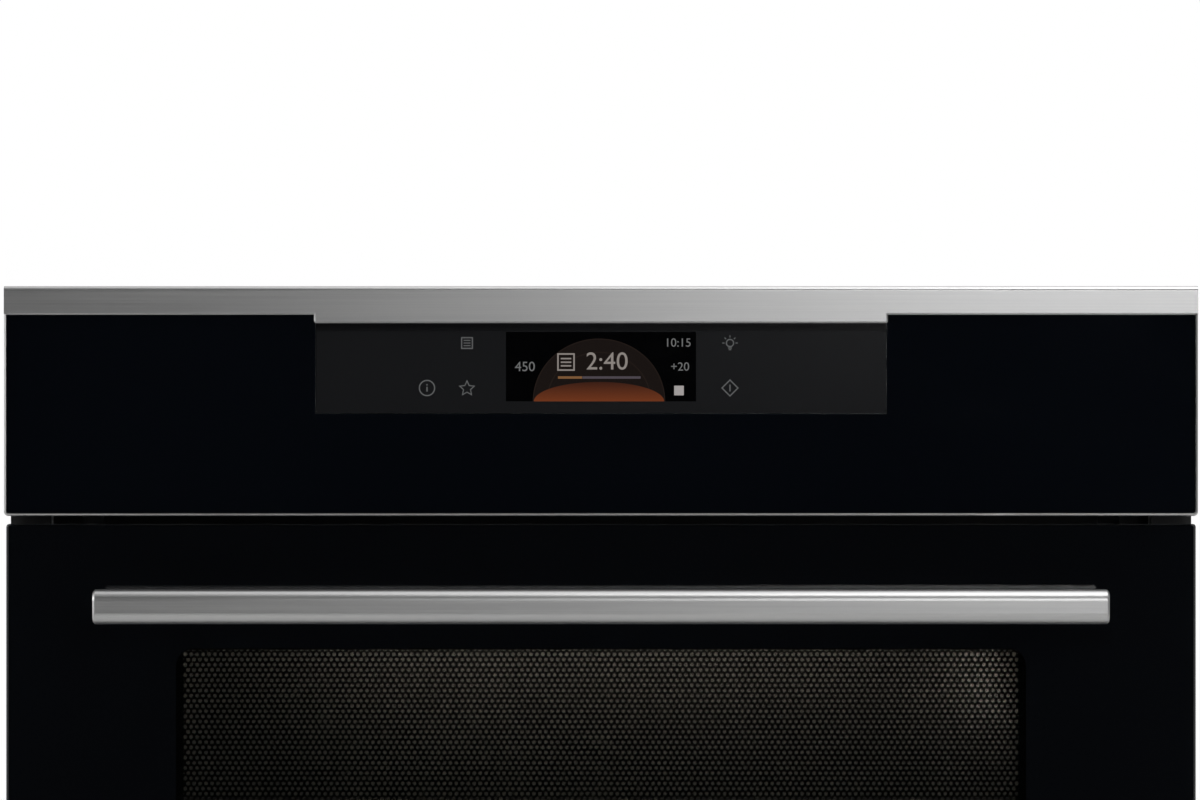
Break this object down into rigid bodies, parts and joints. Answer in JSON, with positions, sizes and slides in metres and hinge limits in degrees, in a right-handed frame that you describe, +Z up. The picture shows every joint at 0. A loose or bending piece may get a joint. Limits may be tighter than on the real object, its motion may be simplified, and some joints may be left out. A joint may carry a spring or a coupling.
{
  "type": "built-in microwave oven",
  "caption": "Compact built-in microwave: wide black glass control fascia with a steel top trim, touch display, drop-down glass door with bar handle, flat ceramic oven floor.",
  "frame": {"origin": "middle of the flat underside that rests on the niche floor", "axes": "+Z up, the front with door and fascia faces -Y, +X to the right seen from the front"},
  "size_m": [0.595, 0.62, 0.4556],
  "materials": {
    "fascia_steel": "horizontally brushed stainless steel",
    "stainless_sheet": "pressed stainless sheet, satin",
    "zinc_sheet": "galvanised steel sheet",
    "black_glass": "black back-printed toughened glass, glossy",
    "touch_glass": "dark grey touch glass, glossy",
    "display_glass": "display glass over a colour panel",
    "clear_glass": "clear toughened glass",
    "lamp_glass": "lamp glass",
    "ceramic_glass": "dark glass-ceramic plate, satin",
    "door_enamel": "black powder coat",
    "screen_sheet": "perforated sheet, black coat",
    "black_plastic": "moulded black plastic",
    "white_plastic": "moulded natural plastic",
    "silicone": "silicone bead",
    "ceramic_body": "pale ceramic or high-temperature plastic",
    "aluminium_sheet": "bare aluminium",
    "aluminium_can": "drawn aluminium can",
    "ferrite": "sintered ferrite, matt",
    "core_iron": "varnished laminated iron",
    "copper": "enamelled copper wire",
    "circuit_board": "circuit board with solder mask",
    "hinge_steel": "plated steel",
    "screw_steel": "zinc-plated screws"
  },
  "bodies": {
    "housing": {"base_plate": "zinc_sheet", "front_frame": "stainless_sheet", "bottom_vent": "black_plastic", "outer_casing": "zinc_sheet", "rear_panel": "zinc_sheet", "cavity_liner": "stainless_sheet", "cavity_supports": "zinc_sheet", "ceramic_floor": "ceramic_glass", "floor_seal": "silicone", "vent_screen": "stainless_sheet", "lamp_lens": "clear_glass", "lamp_housing": "zinc_sheet", "lamp_bulb": "lamp_glass", "waveguide": "aluminium_sheet", "antenna_motor": "zinc_sheet", "magnetron_yoke": "zinc_sheet", "magnetron_magnets": "ferrite", "magnetron_anode": "aluminium_sheet", "magnetron_filter_box": "aluminium_sheet", "transformer_core": "core_iron", "transformer_windings": "copper", "hv_capacitor": "aluminium_can", "capacitor_strap": "zinc_sheet", "fan_housing": "zinc_sheet", "fan_motor": "core_iron", "air_duct": "zinc_sheet", "power_board": "circuit_board", "terminal_block": "black_plastic", "cable_gland": "black_plastic", "thermal_cutouts": "ceramic_body", "interlock_brackets": "zinc_sheet", "interlock_switches": "black_plastic", "hinge_arms": "hinge_steel", "fascia_carrier": "fascia_steel", "top_trim": "fascia_steel", "fascia_glass": "black_glass", "touch_panel": "touch_glass", "display_module": "display_glass", "control_board": "circuit_board"},
    "door": {"door_glass": "black_glass", "door_pan": "door_enamel", "door_screen": "screen_sheet", "door_inner_glass": "clear_glass", "choke_cover": "black_plastic", "door_side_profiles": "black_plastic", "door_cross_profiles": "black_plastic", "handle_bar": "fascia_steel", "handle_posts": "fascia_steel", "handle_screws": "screw_steel", "hinge_cassettes": "hinge_steel", "hinge_pins": "hinge_steel", "latch_hooks": "black_plastic"},
    "antenna": {"antenna_shaft": "ceramic_body", "antenna_plate": "aluminium_sheet"},
    "fan": {"fan_wheel": "aluminium_sheet", "fan_shaft": "hinge_steel"},
    "lever_left": {"latch_lever_left": "white_plastic"},
    "lever_right": {"latch_lever_right": "white_plastic"},
    "plungers": {"switch_plungers": "white_plastic"}
  },
  "joints": [
    {"name": "door_hinge", "type": "hinge", "parent": "housing", "child": "door", "pos_m": [0, -0.284, 0.018], "axis": [1, 0, 0], "range_deg": [0, 90], "stiffness_Nm_per_rad": 3, "springref_deg": -28.65},
    {"name": "lever_left_rock", "type": "hinge", "parent": "housing", "child": "lever_left", "pos_m": [-0.256, -0.2257, 0.31], "axis": [1, 0, 0], "range_deg": [0, 10.5]},
    {"name": "lever_right_rock", "type": "hinge", "parent": "housing", "child": "lever_right", "pos_m": [0.256, -0.2257, 0.31], "axis": [1, 0, 0], "range_deg": [0, 10.5]},
    {"name": "plunger_slide", "type": "slide", "parent": "housing", "child": "plungers", "axis": [0, -1, 0], "range_m": [0, 0.0012]},
    {"name": "fan_spin", "type": "hinge", "parent": "housing", "child": "fan", "pos_m": [0, 0.2156, 0.337], "axis": [1, 0, 0], "continuous": true},
    {"name": "antenna_spin", "type": "hinge", "parent": "housing", "child": "antenna", "pos_m": [0, -0.0469, 0.05], "axis": [0, 0, 1], "continuous": true}
  ],
  "couplings": [
    {"joint": "lever_left_rock", "follows": "door_hinge", "ratio": 0.11},
    {"joint": "lever_right_rock", "follows": "door_hinge", "ratio": 0.11},
    {"joint": "plunger_slide", "follows": "door_hinge", "m_per_rad": 0.00076}
  ]
}
